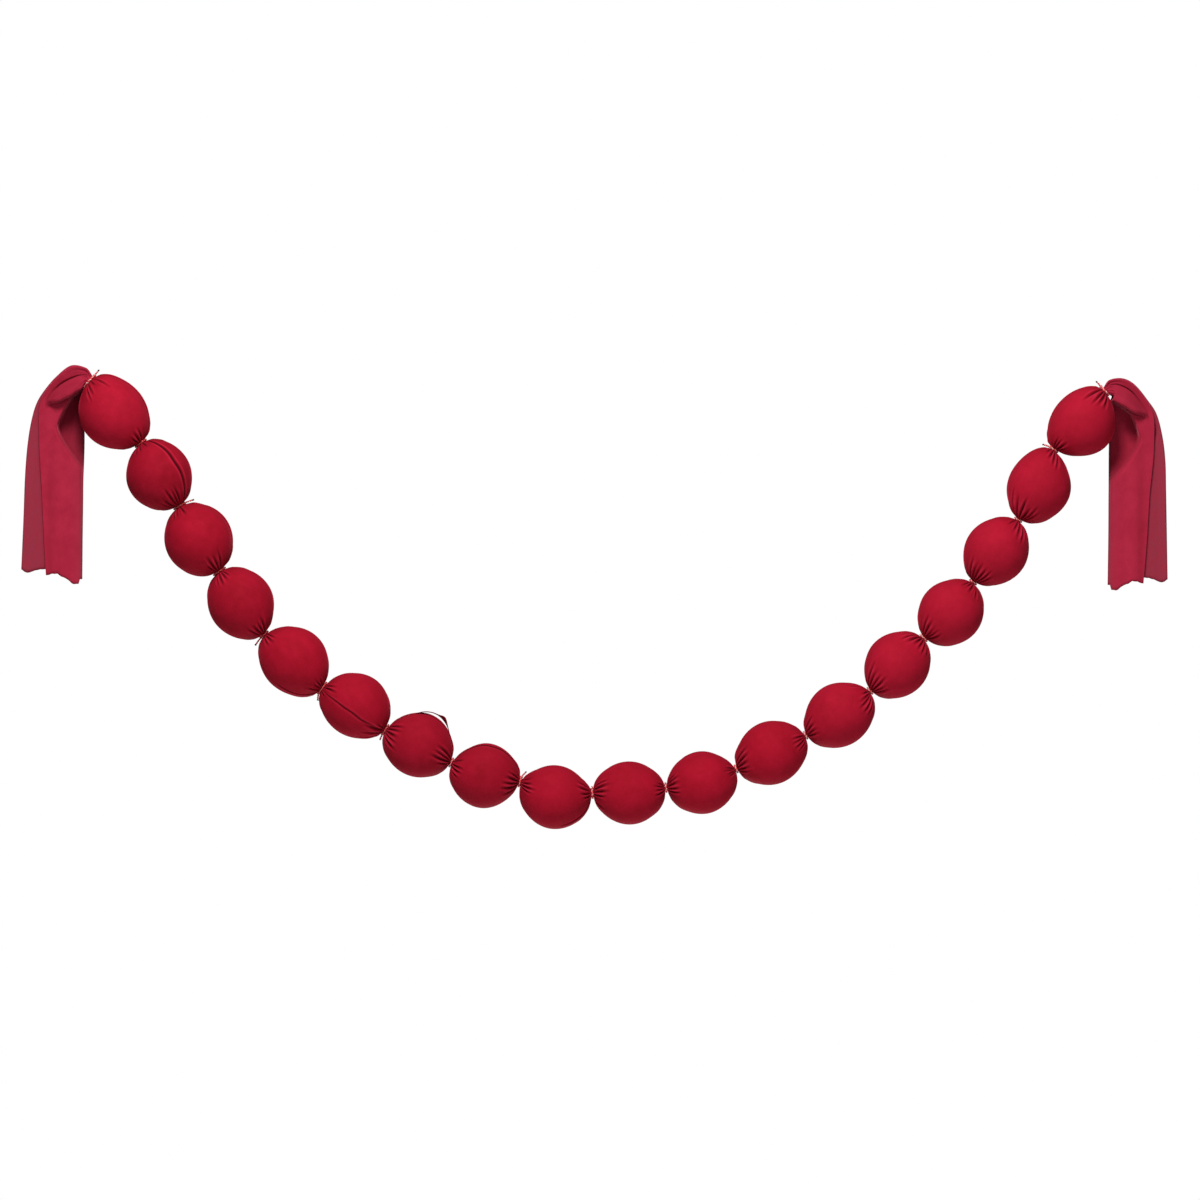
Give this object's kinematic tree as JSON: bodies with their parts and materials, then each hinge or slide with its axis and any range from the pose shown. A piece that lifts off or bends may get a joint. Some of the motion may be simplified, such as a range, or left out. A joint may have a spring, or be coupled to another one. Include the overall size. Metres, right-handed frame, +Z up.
{
  "type": "velvet ball garland",
  "caption": "Swag of cloth-covered balls in one gathered velvet strip, tied off between the balls with short cords, its two ends hanging down as folded tails.",
  "frame": {"origin": "top of the left tail's crest, where the garland hangs over a hook, in the hanging plane", "axes": "+X along the swag from the left crest to the right one, +Y away from the viewer, +Z up"},
  "size_m": [1.6007, 0.0924, 0.647],
  "materials": {
    "velvet": "crimson short-pile velvet, matt with a soft sheen",
    "tail_velvet": "the same velvet hanging free, a little paler",
    "tie_cord": "shiny bright red cord"
  },
  "bodies": {
    "root": {"ball_01": "velvet", "ball_02": "velvet", "ball_03": "velvet", "ball_04": "velvet", "ball_05": "velvet", "ball_06": "velvet", "ball_07": "velvet", "ball_08": "velvet", "ball_09": "velvet", "ball_10": "velvet", "ball_11": "velvet", "ball_12": "velvet", "ball_13": "velvet", "ball_14": "velvet", "ball_15": "velvet", "ball_16": "velvet", "ball_17": "velvet", "ball_18": "velvet", "tie_00": "tie_cord", "tie_01": "tie_cord", "tie_02": "tie_cord", "tie_03": "tie_cord", "tie_04": "tie_cord", "tie_05": "tie_cord", "tie_06": "tie_cord", "tie_07": "tie_cord", "tie_08": "tie_cord", "tie_09": "tie_cord", "tie_10": "tie_cord", "tie_11": "tie_cord", "tie_12": "tie_cord", "tie_13": "tie_cord", "tie_14": "tie_cord", "tie_15": "tie_cord", "tie_16": "tie_cord", "tie_17": "tie_cord", "tie_18": "tie_cord", "tail_left": "tail_velvet", "tail_right": "tail_velvet"}
  },
  "joints": []
}
